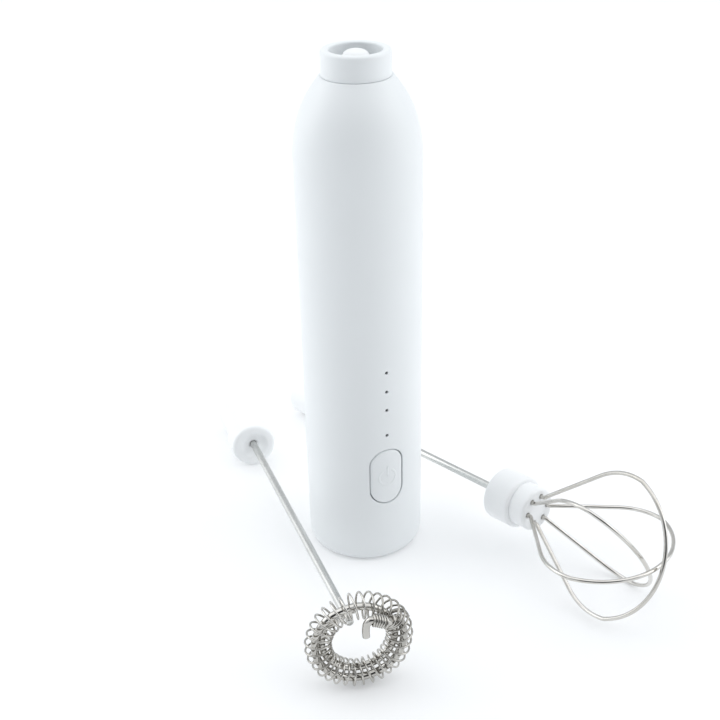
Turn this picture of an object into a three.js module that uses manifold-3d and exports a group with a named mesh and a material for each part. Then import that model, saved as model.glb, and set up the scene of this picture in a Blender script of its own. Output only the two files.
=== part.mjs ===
// Rechargeable milk frother: an upright handle with its motor, battery and button,
// and two loose whisks that push into the socket in the handle's top.
// Millimetres, +Z up. The origin is the centre of the handle's flat base, and the
// button faces -Y. Both whisks lie on the surface that the handle stands on.
import * as THREE from 'three';
import { mergeVertices } from 'three/addons/utils/BufferGeometryUtils.js';
import Module from 'manifold-3d';

const wasm = await Module();
wasm.setup();

// ---- Driving dimensions ----
const GAP = 0.3; // clearance kept between neighbouring pieces

// Handle shell
const BODY_R = 17.8;
const WALL = 1.7;
const INNER_R = BODY_R - WALL;
const BASE_R = 15.9;
const BASE_ROUND_TOP = 3.6;
const SHOULDER_Z = 124;
const SHOULDER_TOP_R = 9.9;
const SEAM_Z = 147.9;
const LIP_R = 9.2;
const LIP_Z = 144.8;

// Base cap, held to the inner frame's posts by two screws from below
const CAP_R = BASE_R - 0.1;
const CAP_T = 3;
const CAP_TOP_Z = 7;
const CAP_SKIRT_T = 1.4;
const BOSS_R = 2.7;
const BOSS_TOP_Z = 9.2;
const POST_R = 2.5;
const POST_FOOT_Z = 9.5;
const BASE_SCREW_X = 9;
const BASE_SCREW_Y = -4;
const BASE_SCREW_Z = 2.1; // underside of the head
const BASE_SCREW = { shankR: 0.95, shankL: 12, headR: 1.9, headT: 1.2 };
const BASE_SCREW_HOLE_R = 1.3;
const BASE_SCREW_SINK_R = 2.3;
const BASE_SCREW_SINK_Z = 2.4;

// Socket on the handle's top
const COLLAR_R = 9.4;
const COLLAR_NECK_R = LIP_R - GAP;
const RIM_Z = 154.7;
const SOCKET_R = 7.1;
const SOCKET_FLOOR_Z = 136;
const FLOOR_T = 2;

// Button and status lights, on the front
const BUTTON_W = 10.2;
const BUTTON_H = 18.9;
const BUTTON_Z = 31.1;
const BUTTON_GAP = 0.3;
const BUTTON_FLANGE = 1.5;
const BUTTON_FLANGE_Y = -13.8;
const BUTTON_FLANGE_T = 0.9;
const LIGHT_Z = [67.0, 60.7, 54.5, 45.9];
const LIGHT_PIN_R = 0.36;
const LIGHT_HOLE_R = 0.62;

// Electronics
const BOARD_Y = -8.4; // front face of the main board
const BOARD_T = 1.2;
const BOARD_HALF_W = 13;
const BOARD_Z = [20, 76];
const CHIP_HALF_W = 0.8;
const CHIP_HALF_H = 0.5;
const CHIP_T = 0.8;
const GUIDE_HALF_W = 1.6;
const GUIDE_MARGIN = 1.7; // of the bar beyond the outer lights
const GUIDE_Y = [-13.4, -9.9];
const SWITCH_HALF = 3;
const SWITCH_BACK_T = 0.7;
const SWITCH_FRONT_Y = -11.8;
const PLUNGER_R = 1.7;
const PLUNGER_FRONT_Y = -12.6;
const PLUNGER_REAR_Y = -10.3;
const BATTERY_R = 9.1;
const BATTERY_Y = 4.6;
const BATTERY_Z = [19.6, 84.6];
const INLET_Z = 12.8;
const INLET_W = 8.9;
const INLET_H = 3.2;
const INLET_Y = [9.9, 17.3];
const INLET_T = 0.35;
const INLET_BACK_T = 1;
const TONGUE_HALF_W = 3.2;
const CHARGE_BOARD_Z = 9.6;
const CHARGE_BOARD_HALF_W = 8.5;
const CHARGE_BOARD_Y = [0, 12.3];

// Frame that carries the battery, the board and the motor
const FRAME_R = 15.6;
const FRAME_IN_R = 14.05;
const FRAME_FRONT_Y = -6.9;
const FRAME_Z = [17.5, 96];
const PLATE_T = 1.5;
const SEAT_HOLE_R = 5;

// Motor, upright on the handle's axis
const SHAFT_R = 1;
const CAN_R = 10.2;
const CAN_Z = [98.5, 124];
const CAN_T = 0.7;
const BELL_T = 1.8;
const NECK_T = 1.1; // wall of the can's neck round the front bush
const NECK_L = 1.8;
const BUSH_R = 2.4;
const MAGNET_T = 1.6;
const MAGNET_Z = [101.5, 121.5];
const MAGNET_HALF = THREE.MathUtils.degToRad(58);
const ARMATURE_R = 7.1;
const ARMATURE_Z = [104, 119];
const POLES = 3;
const POLE_HALF = THREE.MathUtils.degToRad(50);
const POLE_NECK_HALF = THREE.MathUtils.degToRad(28);
const COMMUTATOR_R = 3;
const COMMUTATOR_Z = [99.1, 103.5];
const SLEEVE_R = 13;
const SLEEVE_Z = [99.5, 121];
const CRADLE_R = 14.4;
const CRADLE_T = 1.1;
const CRADLE_FOOT_Z = 97;
const CRADLE_TOP_T = 2;
const SEAL_R = 5.8;
const SEAL_Z = [131.8, 133.7];
const SPIGOT_R = 3.6;
const SPIGOT_Z = [129, 154.6];
const SPIGOT_DOME = 1.9;
const SPIGOT_FLANGE_R = 5.2;
const SPIGOT_FLANGE_T = 1.4;
const SPIGOT_CAP_T = 2.6;
const MOTOR_SCREW_X = 6;
const MOTOR_SCREW = { shankR: 0.8, shankL: 4.4, headR: 1.6, headT: 1 };
const MOTOR_SCREW_HOLE_R = 1.1;

// Whisk connectors: a stem that enters the socket, and a wider head
const STEM_R = 6.4;
const STEM_L = 18.5;
const HEAD_R = 7.6;
const CONNECTOR_L = 27;
const CONNECTOR_BORE_R = SPIGOT_R + GAP;
const CONNECTOR_BORE_L = 18.9;
const DISH_R = 4.75;
const DISH_DEPTH = 1.3;
const ROD_R = 1.2;
const ROD_START = CONNECTOR_BORE_L + 0.7;

// Spring whisk: its stations are measured along the rod from the stem's end
const RING_STATION = 137;
const ROD_TIP_BACK = 7; // rod's tip behind the ring's plane
const RING_R = 11.1;
const RING_WIRE_R = 1.05;
const RING_LEAN = THREE.MathUtils.degToRad(-7.5);
const STRAND_OUT = 1.05; // each strand of the ring from the coil's centre line
const STRAND_FRONT = 0.85;
const COIL_R = 3.5;
const COIL_WIRE_R = 0.3;
const BUNDLE_R = 1.75;
const BUNDLE_FRONT = 6.1;
const BUNDLE_IN = 0.15; // the bundle's centre line is nearer to the ring's centre
const BUNDLE_START = THREE.MathUtils.degToRad(8);
const BUNDLE_END = THREE.MathUtils.degToRad(23);
const LEAD_END = THREE.MathUtils.degToRad(58);
const HOOK_ANGLE = THREE.MathUtils.degToRad(81);
const SPOKE_ANGLE = THREE.MathUtils.degToRad(150);
const SPOKE_GAP = [274, 308].map(THREE.MathUtils.degToRad); // the coil passes the spoke
const COIL_END = THREE.MathUtils.degToRad(383);
const FROTH_END = new THREE.Vector2(-19.7, 75.1);
const FROTH_HEADING = THREE.MathUtils.degToRad(-3.6);

// Balloon whisk
const HUB_STATION = 103;
const HUB_R = 8.2;
const HUB_L = 9.6;
const NOSE_R = 6.8;
const NOSE_L = 5.4;
const LOOP_WIRE_R = 0.62;
const LOOP_ROOT_R = 4.3;
const LOOP_ROOT_DEPTH = 4;
const LOOP_RUN = 1; // straight wire beyond the nose
const LOOP_CORNER_ROUND = 8;
// Each loop is bent on its own: the turn of its plane, the radius of its corners on
// either side, the corners' station and the apex. They cross one behind another.
const LOOPS = [
  { turn: 66.2, cornerR: [22.5, 22.1], station: 142.6, apex: 163.8 },
  { turn: -1.2, cornerR: [22.7, 21.5], station: 140.4, apex: 161.9 },
  { turn: -58.5, cornerR: [25.1, 21.2], station: 139.5, apex: 157.7 },
];
const BALLOON_END = new THREE.Vector2(7.5, 76.1);
const BALLOON_HEADING = THREE.MathUtils.degToRad(16.8);
const REST_GAP = 0.2; // keeps the lowest loop just off the surface

// ---- Materials ----
function material(color, roughness, metalness = 0) {
  return new THREE.MeshStandardMaterial({ color, roughness, metalness });
}

const white = material('#eef1f3', 0.42);
const steel = material('#b9b7b2', 0.28, 1);
const satinSteel = material('#a9aaa8', 0.45, 1);
const grey = material('#4a4d50', 0.6);
const black = material('#1d1e20', 0.7);
const green = material('#1f6b46', 0.55);
const copper = material('#a5683c', 0.4, 1);
const brass = material('#b59a54', 0.4, 1);
const blue = material('#2c6fae', 0.5);
const clear = material('#d9dde0', 0.2);

// ---- Solids ----
// The geometry as a solid that can be cut and joined.
function solid(geometry) {
  const bare = geometry.clone();
  bare.deleteAttribute('normal');
  bare.deleteAttribute('uv');
  const merged = mergeVertices(bare, 1e-4);
  const corners = merged.index.array;
  const triVerts = [];
  for (let i = 0; i < corners.length; i += 3) {
    const [a, b, c] = corners.slice(i, i + 3);
    if (a !== b && b !== c && c !== a) triVerts.push(a, b, c);
  }
  return new wasm.Manifold(new wasm.Mesh({
    numProp: 3,
    vertProperties: new Float32Array(merged.attributes.position.array),
    triVerts: new Uint32Array(triVerts),
  }));
}

function geometryOf(shape) {
  const mesh = shape.getMesh();
  const geometry = new THREE.BufferGeometry();
  geometry.setAttribute('position', new THREE.BufferAttribute(mesh.vertProperties, 3));
  geometry.setIndex(new THREE.BufferAttribute(mesh.triVerts, 1));
  geometry.computeVertexNormals();
  return geometry;
}

function cut(base, ...tools) {
  return geometryOf(tools.reduce((rest, tool) => rest.subtract(solid(tool)), solid(base)));
}

function join(base, ...others) {
  return geometryOf(others.reduce((sum, other) => sum.add(solid(other)), solid(base)));
}

function common(base, other) {
  return geometryOf(solid(base).intersect(solid(other)));
}

// A turned piece about the Z axis. The profile is [radius, z] pairs, counter-clockwise.
function turned(profile, segments = 24) {
  const points = profile.map(([r, z]) => new THREE.Vector2(r, z));
  return new THREE.LatheGeometry(points, segments).rotateX(Math.PI / 2);
}

function ring(inner, outer, low, high, segments = 24) {
  return turned([[inner, low], [outer, low], [outer, high], [inner, high], [inner, low]], segments);
}

function disc(radius, low, high, segments = 24) {
  const geometry = new THREE.CylinderGeometry(radius, radius, high - low, segments);
  return geometry.rotateX(Math.PI / 2).translate(0, 0, (low + high) / 2);
}

// A rod along Y, between two depths.
function crossPin(radius, x, z, front, rear, segments = 12) {
  const geometry = new THREE.CylinderGeometry(radius, radius, rear - front, segments);
  return geometry.translate(x, (front + rear) / 2, z);
}

function block([x0, x1], [y0, y1], [z0, z1]) {
  const geometry = new THREE.BoxGeometry(x1 - x0, y1 - y0, z1 - z0);
  return geometry.translate((x0 + x1) / 2, (y0 + y1) / 2, (z0 + z1) / 2);
}

// Points of a cubic curve, for a profile's shoulder.
function shoulder(points, steps) {
  const corners = points.map(([r, z]) => new THREE.Vector2(r, z));
  const curve = new THREE.CubicBezierCurve(...corners);
  return curve.getPoints(steps).map((point) => [point.x, point.y]);
}

// A stadium prism that runs along Y: width along X, height along Z.
function stadium(width, height, z, front, rear) {
  const r = Math.min(width, height) / 2;
  const shape = new THREE.Shape();
  if (height > width) {
    shape.absarc(0, height / 2 - r, r, 0, Math.PI);
    shape.absarc(0, r - height / 2, r, Math.PI, 2 * Math.PI);
  } else {
    shape.absarc(width / 2 - r, 0, r, -Math.PI / 2, Math.PI / 2);
    shape.absarc(r - width / 2, 0, r, Math.PI / 2, 1.5 * Math.PI);
  }
  const options = { depth: rear - front, bevelEnabled: false, curveSegments: 6 };
  return new THREE.ExtrudeGeometry(shape, options).rotateX(Math.PI / 2).translate(0, rear, z);
}

// A path with straight stretches between its points, one step of a sweep for each.
class PointPath extends THREE.Curve {
  constructor(points) {
    super();
    this.points = points;
  }

  getPoint(t) {
    const place = t * (this.points.length - 1);
    const first = Math.min(Math.floor(place), this.points.length - 2);
    return this.points[first].clone().lerp(this.points[first + 1], place - first);
  }

  getUtoTmapping(u) {
    return u;
  }
}

// A round wire along a curve, in the given number of steps. The sides are an even number.
function wire(curve, radius, sides, steps) {
  const section = new THREE.Shape();
  section.absarc(0, 0, radius, 0, 2 * Math.PI);
  const options = { steps, curveSegments: sides / 2, bevelEnabled: false, extrudePath: curve };
  return new THREE.ExtrudeGeometry(section, options);
}

function smooth(x) {
  const t = THREE.MathUtils.clamp(x, 0, 1);
  return t * t * (3 - 2 * t);
}

function piece(group, name, geometry, look) {
  const mesh = new THREE.Mesh(geometry, look);
  mesh.name = name;
  group.add(mesh);
  return mesh;
}

// ---- Handle shell, base and socket ----
function bodyShell() {
  const outside = shoulder(
    [[BODY_R, SHOULDER_Z], [BODY_R, 136], [15, 141.5], [SHOULDER_TOP_R, SEAM_Z]], 6);
  const inside = shoulder(
    [[INNER_R, SHOULDER_Z - 2], [INNER_R, 133], [13.2, 139], [LIP_R, LIP_Z]], 4).reverse();
  const shell = turned([
    [INNER_R, 0.7], [BODY_R - 0.9, 0.9], [BODY_R - 0.25, 1.9], [BODY_R, BASE_ROUND_TOP],
    ...outside, [LIP_R, SEAM_Z], ...inside, [INNER_R, 0.7],
  ], 40);
  const buttonHole = stadium(
    BUTTON_W + 2 * BUTTON_GAP, BUTTON_H + 2 * BUTTON_GAP, BUTTON_Z, -BODY_R - 1, -10);
  const lightHoles = LIGHT_Z.map((z) => crossPin(LIGHT_HOLE_R, 0, z, -BODY_R - 1, -14));
  const inletHole = stadium(
    INLET_W + 2 * GAP, INLET_H + 2 * GAP, INLET_Z, 14, BODY_R + 1);
  return cut(shell, buttonHole, inletHole, ...lightHoles);
}

function baseCap() {
  const cap = turned([
    [0, 0], [CAP_R - 0.5, 0], [CAP_R, 0.5], [CAP_R, CAP_TOP_Z],
    [CAP_R - CAP_SKIRT_T, CAP_TOP_Z], [CAP_R - CAP_SKIRT_T, CAP_T], [0, CAP_T],
  ], 36);
  const bosses = [];
  const holes = [];
  for (const side of [-1, 1]) {
    const x = side * BASE_SCREW_X;
    bosses.push(disc(BOSS_R, CAP_T - 0.5, BOSS_TOP_Z, 16).translate(x, BASE_SCREW_Y, 0));
    holes.push(disc(BASE_SCREW_HOLE_R, -1, 10, 12).translate(x, BASE_SCREW_Y, 0));
    holes.push(disc(BASE_SCREW_SINK_R, -1, BASE_SCREW_SINK_Z, 16).translate(x, BASE_SCREW_Y, 0));
  }
  const rest = block([-7, 7], [6, 9], [CAP_T - 0.5, CHARGE_BOARD_Z - GAP]);
  return cut(join(cap, rest, ...bosses), ...holes);
}

function socketCollar() {
  return turned([
    [SPIGOT_R + GAP + 0.2, SOCKET_FLOOR_Z - FLOOR_T], [COLLAR_NECK_R, SOCKET_FLOOR_Z - FLOOR_T],
    [COLLAR_NECK_R, SEAM_Z + GAP], [COLLAR_R, SEAM_Z + GAP], [COLLAR_R, RIM_Z - 1],
    [COLLAR_R - 0.35, RIM_Z - 0.3], [COLLAR_R - 1.1, RIM_Z], [SOCKET_R + 0.4, RIM_Z],
    [SOCKET_R, RIM_Z - 0.4], [SOCKET_R, SOCKET_FLOOR_Z],
    [SPIGOT_R + GAP + 0.2, SOCKET_FLOOR_Z], [SPIGOT_R + GAP + 0.2, SOCKET_FLOOR_Z - FLOOR_T],
  ], 32);
}

// ---- Inside the handle ----
function innerFrame() {
  const [low, high] = FRAME_Z;
  const trough = ring(FRAME_IN_R, FRAME_R, low, high - 0.5, 36);
  const front = block([-20, 20], [-20, FRAME_FRONT_Y], [low - 1, high - PLATE_T - 0.01]);
  const floor = disc(FRAME_IN_R + 0.5, low, low + PLATE_T, 36);
  const seat = ring(SEAT_HOLE_R, FRAME_R, high - PLATE_T, high, 36);
  const posts = [];
  const holes = [];
  for (const side of [-1, 1]) {
    const x = side * BASE_SCREW_X;
    posts.push(disc(POST_R, POST_FOOT_Z, low + 0.5, 16).translate(x, BASE_SCREW_Y, 0));
    holes.push(disc(BASE_SCREW_HOLE_R, POST_FOOT_Z - 0.5, 15, 12).translate(x, BASE_SCREW_Y, 0));
  }
  const cradle = cut(join(trough, floor), front);
  return cut(join(cradle, seat, ...posts), ...holes);
}

function battery() {
  const [low, high] = BATTERY_Z;
  return turned([
    [0, low], [BATTERY_R - 0.5, low], [BATTERY_R, low + 0.5], [BATTERY_R, high - 1.6],
    [BATTERY_R - 0.6, high - 1], [2.8, high - 1], [2.8, high], [0, high],
  ], 28).translate(0, BATTERY_Y, 0);
}

function switchBody() {
  const rear = BOARD_Y - GAP;
  const shell = block([-SWITCH_HALF, SWITCH_HALF], [SWITCH_FRONT_Y, rear],
    [BUTTON_Z - SWITCH_HALF, BUTTON_Z + SWITCH_HALF]);
  const floor = rear - SWITCH_BACK_T;
  const pocket = crossPin(PLUNGER_R + GAP, 0, BUTTON_Z, SWITCH_FRONT_Y - 1, floor, 16);
  return cut(shell, pocket);
}

function lightGuide() {
  const top = LIGHT_Z[0] + GUIDE_MARGIN;
  const bottom = LIGHT_Z[LIGHT_Z.length - 1] - GUIDE_MARGIN;
  const bar = block([-GUIDE_HALF_W, GUIDE_HALF_W], GUIDE_Y, [bottom, top]);
  const pins = LIGHT_Z.map((z) => (
    crossPin(LIGHT_PIN_R, 0, z, -BODY_R + 0.4, GUIDE_Y[0] + 0.4, 10)));
  return join(bar, ...pins);
}

function chargeInlet() {
  const [front, rear] = INLET_Y;
  const shell = stadium(INLET_W, INLET_H, INLET_Z, front, rear);
  const mouth = stadium(
    INLET_W - 2 * INLET_T, INLET_H - 2 * INLET_T, INLET_Z, front + INLET_BACK_T, rear + 1);
  const tongue = block([-TONGUE_HALF_W, TONGUE_HALF_W],
    [front + 0.5, rear - 0.9], [INLET_Z - INLET_T, INLET_Z + INLET_T]);
  return join(cut(shell, mouth), tongue);
}

function buttonCap() {
  const face = stadium(BUTTON_W, BUTTON_H, BUTTON_Z, -BODY_R - 1, BUTTON_FLANGE_Y + 0.4);
  const curved = common(face, disc(BODY_R + 0.1, 0, 60, 64));
  const flange = stadium(
    BUTTON_W + 2 * BUTTON_FLANGE, BUTTON_H + 2 * BUTTON_FLANGE, BUTTON_Z,
    BUTTON_FLANGE_Y, BUTTON_FLANGE_Y + BUTTON_FLANGE_T);
  return join(curved, flange);
}

// A screw that points up: its head's underside is at the origin.
function screw({ shankR, shankL, headR, headT }) {
  return turned([
    [0, -headT], [headR - 0.2, -headT], [headR, -headT + 0.3], [headR, 0],
    [shankR, 0], [shankR, shankL - 0.5], [shankR * 0.5, shankL], [0, shankL],
  ], 8);
}

function addHandle(handle) {
  piece(handle, 'body_shell', bodyShell(), white);
  piece(handle, 'base_cap', baseCap(), white);
  piece(handle, 'socket_collar', socketCollar(), white);
  piece(handle, 'inner_frame', innerFrame(), grey);
  piece(handle, 'battery', battery(), blue);
  const board = block([-BOARD_HALF_W, BOARD_HALF_W], [BOARD_Y, BOARD_Y + BOARD_T], BOARD_Z);
  piece(handle, 'main_board', board, green);
  LIGHT_Z.forEach((z, i) => {
    const chip = block([-CHIP_HALF_W, CHIP_HALF_W],
      [BOARD_Y - GAP - CHIP_T, BOARD_Y - GAP], [z - CHIP_HALF_H, z + CHIP_HALF_H]);
    piece(handle, `status_led_${i + 1}`, chip, clear);
  });
  piece(handle, 'light_guide', lightGuide(), clear);
  piece(handle, 'switch_body', switchBody(), black);
  piece(handle, 'switch_plunger',
    crossPin(PLUNGER_R, 0, BUTTON_Z, PLUNGER_FRONT_Y, PLUNGER_REAR_Y, 16), black);
  piece(handle, 'button_cap', buttonCap(), white);
  const chargeBoard = block([-CHARGE_BOARD_HALF_W, CHARGE_BOARD_HALF_W],
    CHARGE_BOARD_Y, [CHARGE_BOARD_Z, CHARGE_BOARD_Z + BOARD_T]);
  piece(handle, 'charge_board', chargeBoard, green);
  piece(handle, 'charge_inlet', chargeInlet(), steel);
  [-1, 1].forEach((side, i) => {
    const mesh = piece(handle, `base_screw_${i + 1}`, screw(BASE_SCREW), steel);
    mesh.position.set(side * BASE_SCREW_X, BASE_SCREW_Y, BASE_SCREW_Z);
  });
}

// ---- Motor ----
function motorCan() {
  const [low, high] = CAN_Z;
  const neck = BUSH_R + GAP;
  const can = turned([
    [CAN_R - CAN_T, low], [CAN_R, low], [CAN_R, high - 0.6], [CAN_R - 0.6, high],
    [neck + NECK_T, high], [neck + NECK_T, high + NECK_L],
    [neck, high + NECK_L], [neck, high - CAN_T],
    [CAN_R - CAN_T, high - CAN_T], [CAN_R - CAN_T, low],
  ], 28);
  const holes = [-1, 1].map((side) => (
    disc(MOTOR_SCREW_HOLE_R, high - 2, high + 1, 10).translate(side * MOTOR_SCREW_X, 0, 0)));
  return cut(can, ...holes);
}

// An arc magnet inside the can: side is 1 for +X and -1 for -X.
function magnet(side) {
  const outer = CAN_R - CAN_T - GAP;
  const [low, high] = MAGNET_Z;
  const shape = new THREE.Shape();
  shape.absarc(0, 0, outer, -MAGNET_HALF, MAGNET_HALF);
  shape.absarc(0, 0, outer - MAGNET_T, MAGNET_HALF, -MAGNET_HALF, true);
  const options = { depth: high - low, bevelEnabled: false, curveSegments: 7 };
  const geometry = new THREE.ExtrudeGeometry(shape, options).translate(0, 0, low);
  return side > 0 ? geometry : geometry.rotateZ(Math.PI);
}

// An armature with slots between its poles, bored for the shaft.
function armature() {
  const [low, high] = ARMATURE_Z;
  const core = COMMUTATOR_R;
  const shape = new THREE.Shape();
  for (let i = 0; i < POLES; i += 1) {
    const middle = (i * 2 * Math.PI) / POLES;
    const enter = middle - POLE_NECK_HALF;
    const leave = middle + POLE_NECK_HALF;
    if (i === 0) {
      shape.moveTo(core * Math.cos(enter), core * Math.sin(enter));
    } else {
      shape.lineTo(core * Math.cos(enter), core * Math.sin(enter));
    }
    shape.absarc(0, 0, ARMATURE_R, middle - POLE_HALF, middle + POLE_HALF);
    shape.lineTo(core * Math.cos(leave), core * Math.sin(leave));
  }
  const bore = new THREE.Path();
  bore.absarc(0, 0, SHAFT_R + GAP, 0, 2 * Math.PI, true);
  shape.holes.push(bore);
  const options = { depth: high - low, bevelEnabled: false, curveSegments: 6 };
  return new THREE.ExtrudeGeometry(shape, options).translate(0, 0, low);
}

function driveSpigot() {
  const [low, high] = SPIGOT_Z;
  const spring = high - SPIGOT_DOME;
  const dome = [0.5, 0.8].map((share) => [
    SPIGOT_R * Math.cos(share * Math.PI / 2), spring + SPIGOT_DOME * Math.sin(share * Math.PI / 2)]);
  return turned([
    [SHAFT_R + GAP, low], [SPIGOT_FLANGE_R, low], [SPIGOT_FLANGE_R, low + SPIGOT_FLANGE_T],
    [SPIGOT_R, low + SPIGOT_FLANGE_T], [SPIGOT_R, spring], ...dome, [0, high],
    [0, high - SPIGOT_CAP_T], [SHAFT_R + GAP, high - SPIGOT_CAP_T], [SHAFT_R + GAP, low],
  ], 20);
}

function motorCradle() {
  const [, high] = CAN_Z;
  const hole = BUSH_R + GAP + NECK_T + GAP;
  const inner = CRADLE_R - CRADLE_T;
  const top = high + GAP + CRADLE_TOP_T;
  const cup = turned([
    [inner, CRADLE_FOOT_Z], [CRADLE_R, CRADLE_FOOT_Z], [CRADLE_R, top], [hole, top],
    [hole, high + GAP], [inner, high + GAP], [inner, CRADLE_FOOT_Z],
  ], 28);
  const holes = [-1, 1].map((side) => (
    disc(MOTOR_SCREW_HOLE_R, high, top + 1, 10).translate(side * MOTOR_SCREW_X, 0, 0)));
  return cut(cup, ...holes);
}

function addMotor(handle) {
  const [low, high] = CAN_Z;
  const bushBore = SHAFT_R + GAP;
  const bellTop = low - GAP;
  const bellFoot = bellTop - BELL_T;
  piece(handle, 'motor_can', motorCan(), satinSteel);
  piece(handle, 'motor_end_bell', ring(BUSH_R + GAP, CAN_R, bellFoot, bellTop, 28), black);
  piece(handle, 'magnet_1', magnet(1), grey);
  piece(handle, 'magnet_2', magnet(-1), grey);
  piece(handle, 'rear_bush', ring(bushBore, BUSH_R, bellFoot, bellTop, 16), brass);
  piece(handle, 'front_bush', ring(bushBore, BUSH_R, high - CAN_T, high + NECK_L, 16), brass);
  piece(handle, 'motor_sleeve', ring(CAN_R + GAP, SLEEVE_R, ...SLEEVE_Z, 28), black);
  piece(handle, 'motor_cradle', motorCradle(), grey);
  piece(handle, 'shaft_seal', ring(SPIGOT_R + GAP, SEAL_R, ...SEAL_Z, 20), black);
  [-1, 1].forEach((side, i) => {
    const mesh = piece(handle, `motor_screw_${i + 1}`, screw(MOTOR_SCREW), steel);
    mesh.position.set(side * MOTOR_SCREW_X, 0, high + GAP + CRADLE_TOP_T + GAP);
    mesh.rotation.x = Math.PI;
  });
  piece(handle, 'armature', armature(), copper);
  piece(handle, 'commutator', ring(bushBore, COMMUTATOR_R, ...COMMUTATOR_Z, 16), copper);
  piece(handle, 'motor_shaft', disc(SHAFT_R, bellFoot - 0.5, SPIGOT_Z[1] - SPIGOT_CAP_T - 0.4, 12), steel);
  piece(handle, 'drive_spigot', driveSpigot(), white);
}

// ---- Whisks ----
// Each whisk is built along its own +Z from the open end of its connector's stem.
function connector() {
  const rodHole = ROD_R + GAP;
  return turned([
    [CONNECTOR_BORE_R, 0], [STEM_R - 0.4, 0], [STEM_R, 0.5], [STEM_R, STEM_L],
    [HEAD_R - 0.5, STEM_L], [HEAD_R, STEM_L + 0.6], [HEAD_R, CONNECTOR_L - 1.2],
    [HEAD_R - 0.4, CONNECTOR_L - 0.3], [HEAD_R - 1.2, CONNECTOR_L], [DISH_R, CONNECTOR_L],
    [rodHole + 0.4, CONNECTOR_L - DISH_DEPTH], [rodHole, CONNECTOR_L - DISH_DEPTH - 0.2],
    [rodHole, CONNECTOR_BORE_L], [CONNECTOR_BORE_R, CONNECTOR_BORE_L], [CONNECTOR_BORE_R, 0],
  ], 20);
}

function rod(start, end) {
  return turned([
    [0, start], [ROD_R, start], [ROD_R, end - 0.5], [ROD_R * 0.6, end], [0, end],
  ], 10);
}

// A point of the ring's space: clock angle, distance from its centre and distance in front.
function ringPoint(angle, radius, front) {
  return new THREE.Vector3(radius * Math.cos(angle), radius * Math.sin(angle), front);
}

// How far a turn of the ring still stands out in front with the hook, from 1 to 0.
function hookShare(turn) {
  return 1 - smooth((turn - BUNDLE_END) / (LEAD_END - BUNDLE_END));
}

// The ring is a spiral of a lap and three quarters. It starts at a hook in front, at
// the top right, goes round clockwise, and ends in a spoke that meets the rod's tip.
function ringWire() {
  const start = THREE.MathUtils.degToRad(8);
  const end = HOOK_ANGLE + 4 * Math.PI - SPOKE_ANGLE;
  const lapEnd = HOOK_ANGLE + 2 * Math.PI - SPOKE_ANGLE;
  const spiral = (turn) => {
    const hooked = hookShare(turn);
    const side = (1 - 2 * smooth((turn - lapEnd) / 1.4)) * (1 - hooked);
    return ringPoint(
      HOOK_ANGLE - turn, RING_R + STRAND_OUT * side - BUNDLE_IN * hooked,
      STRAND_FRONT * side + BUNDLE_FRONT * hooked);
  };
  const points = [
    new THREE.Vector3(1, 5.1, BUNDLE_FRONT - 0.7),
    new THREE.Vector3(0.95, 7.2, BUNDLE_FRONT - 0.6),
    new THREE.Vector3(1.3, 9.4, BUNDLE_FRONT - 0.3),
    new THREE.Vector3(2.4, 10.6, BUNDLE_FRONT - 0.1),
  ];
  const steps = 50;
  for (let i = 0; i <= steps; i += 1) points.push(spiral(start + (end - start) * (i / steps)));
  const weld = ROD_R + RING_WIRE_R + GAP;
  points.push(ringPoint(SPOKE_ANGLE - 0.16, RING_R - 3.4, -2.4));
  points.push(new THREE.Vector3(-4.4, weld + 0.7, -5.4));
  points.push(new THREE.Vector3(-1.6, weld + 0.1, -ROD_TIP_BACK - 1.8));
  points.push(new THREE.Vector3(0.9, weld, -ROD_TIP_BACK - 2.7));
  const curve = new THREE.CatmullRomCurve3(points, false, 'centripetal');
  return wire(curve, RING_WIRE_R, 6, 80);
}

// The coil starts as a tight bundle on the wire behind the hook, and then runs round
// both strands. Between stretches it only passes along their outer side: on its way
// back from the hook, and where the spoke leaves for the rod.
function ringCoil() {
  const stretches = [
    { from: BUNDLE_START, to: BUNDLE_END, turns: 4 },
    { from: BUNDLE_END, to: LEAD_END, turns: 0 },
    { from: LEAD_END, to: SPOKE_GAP[0], turns: 21 },
    { from: SPOKE_GAP[0], to: SPOKE_GAP[1], turns: 0 },
    { from: SPOKE_GAP[1], to: COIL_END, turns: 8 },
  ];
  const stepsPerTurn = 8;
  const points = [];
  for (const { from, to, turns } of stretches) {
    const steps = turns > 0 ? turns * stepsPerTurn : 5;
    for (let i = points.length > 0 ? 1 : 0; i <= steps; i += 1) {
      const turn = THREE.MathUtils.lerp(from, to, i / steps);
      const hooked = hookShare(turn);
      const radius = THREE.MathUtils.lerp(COIL_R, BUNDLE_R, hooked);
      const phase = (2 * Math.PI * turns * i) / steps;
      points.push(ringPoint(
        HOOK_ANGLE - turn, RING_R - BUNDLE_IN * hooked + radius * Math.cos(phase),
        BUNDLE_FRONT * hooked + radius * Math.sin(phase)));
    }
  }
  return wire(new PointPath(points), COIL_WIRE_R, 4, points.length - 1);
}

function addFrothWhisk(group) {
  piece(group, 'froth_connector', connector(), white);
  piece(group, 'froth_rod', rod(ROD_START, RING_STATION - ROD_TIP_BACK), satinSteel);
  const head = new THREE.Group();
  head.position.z = RING_STATION;
  head.rotation.y = RING_LEAN;
  piece(head, 'froth_ring_wire', ringWire(), steel);
  piece(head, 'froth_coil', ringCoil(), steel);
  group.add(head);
}

function noseStart() {
  return HUB_STATION + HUB_L + GAP;
}

function hub() {
  const [low, high] = [HUB_STATION, HUB_STATION + HUB_L];
  return turned([
    [ROD_R + GAP, low], [HUB_R - 0.9, low], [HUB_R, low + 0.9], [HUB_R, high - 0.9],
    [HUB_R - 0.9, high], [ROD_R + GAP, high], [ROD_R + GAP, low],
  ], 28);
}

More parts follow.
